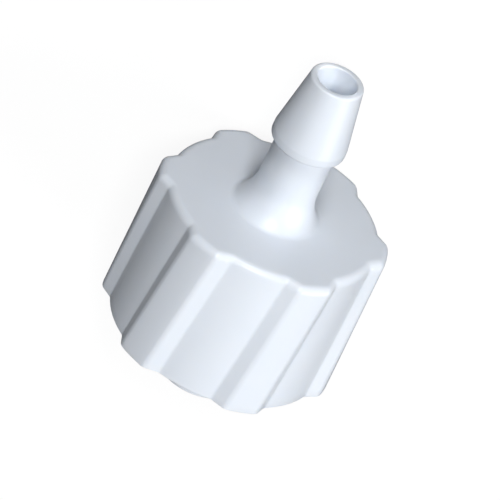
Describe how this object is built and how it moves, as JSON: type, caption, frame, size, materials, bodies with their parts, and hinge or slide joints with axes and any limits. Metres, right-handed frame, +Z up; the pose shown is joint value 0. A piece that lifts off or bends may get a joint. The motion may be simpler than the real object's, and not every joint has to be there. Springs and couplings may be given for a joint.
{
  "type": "luer to hose barb fitting",
  "caption": "One-piece moulded plastic fitting: a male luer cone in a ribbed lock ring at one end, a hose barb for soft tubing at the other, and a passage right through.",
  "frame": {"origin": "centre of the luer tip's end face, on the fitting's axis", "axes": "+X along the fitting's axis from the luer tip to the barb, +Z up as the fitting lies on two neighbouring ribs of its lock ring, +Y level and square to both"},
  "size_m": [0.0177, 0.0112, 0.0106],
  "materials": {
    "white_plastic": "satin"
  },
  "bodies": {
    "root": {"luer_barb_fitting": "white_plastic"}
  },
  "joints": []
}
